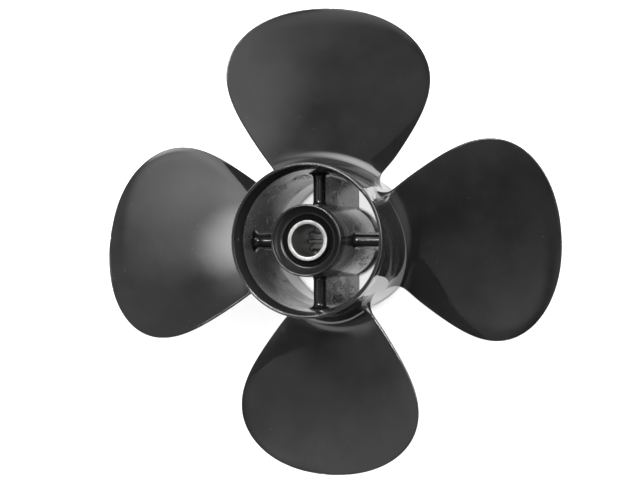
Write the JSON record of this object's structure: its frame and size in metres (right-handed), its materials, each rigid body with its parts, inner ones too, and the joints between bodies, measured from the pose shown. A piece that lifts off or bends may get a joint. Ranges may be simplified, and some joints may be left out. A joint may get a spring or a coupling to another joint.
{
  "type": "outboard motor propeller",
  "caption": "Right-hand boat propeller with broad rounded blades on a ribbed through-hub exhaust barrel, rubber torsion bush and splined drive insert.",
  "frame": {"origin": "on the shaft axis, at the flat forward end of the outer barrel, on which the propeller stands", "axes": "+Z along the shaft axis towards the aft (exhaust) end; +Y along rib_1 and blade_1, +X along rib_2 and blade_2, so the blades are numbered clockwise seen from aft"},
  "size_m": [0.2794, 0.2794, 0.106],
  "materials": {
    "black_paint": "gloss",
    "bush_rubber": "matte",
    "insert_metal": "machined"
  },
  "bodies": {
    "casting": {"outer_barrel": "black_paint", "inner_hub": "black_paint", "rib_1": "black_paint", "rib_2": "black_paint", "rib_3": "black_paint", "rib_4": "black_paint", "blade_1": "black_paint", "blade_2": "black_paint", "blade_3": "black_paint", "blade_4": "black_paint", "rubber_bush": "bush_rubber"},
    "insert": {"splined_insert": "insert_metal"}
  },
  "joints": [
    {"name": "bush_twist", "type": "hinge", "parent": "casting", "child": "insert", "pos_m": [0, 0, 0.0625], "axis": [0, 0, 1], "range_deg": [-8, 8], "stiffness_Nm_per_rad": 20}
  ]
}
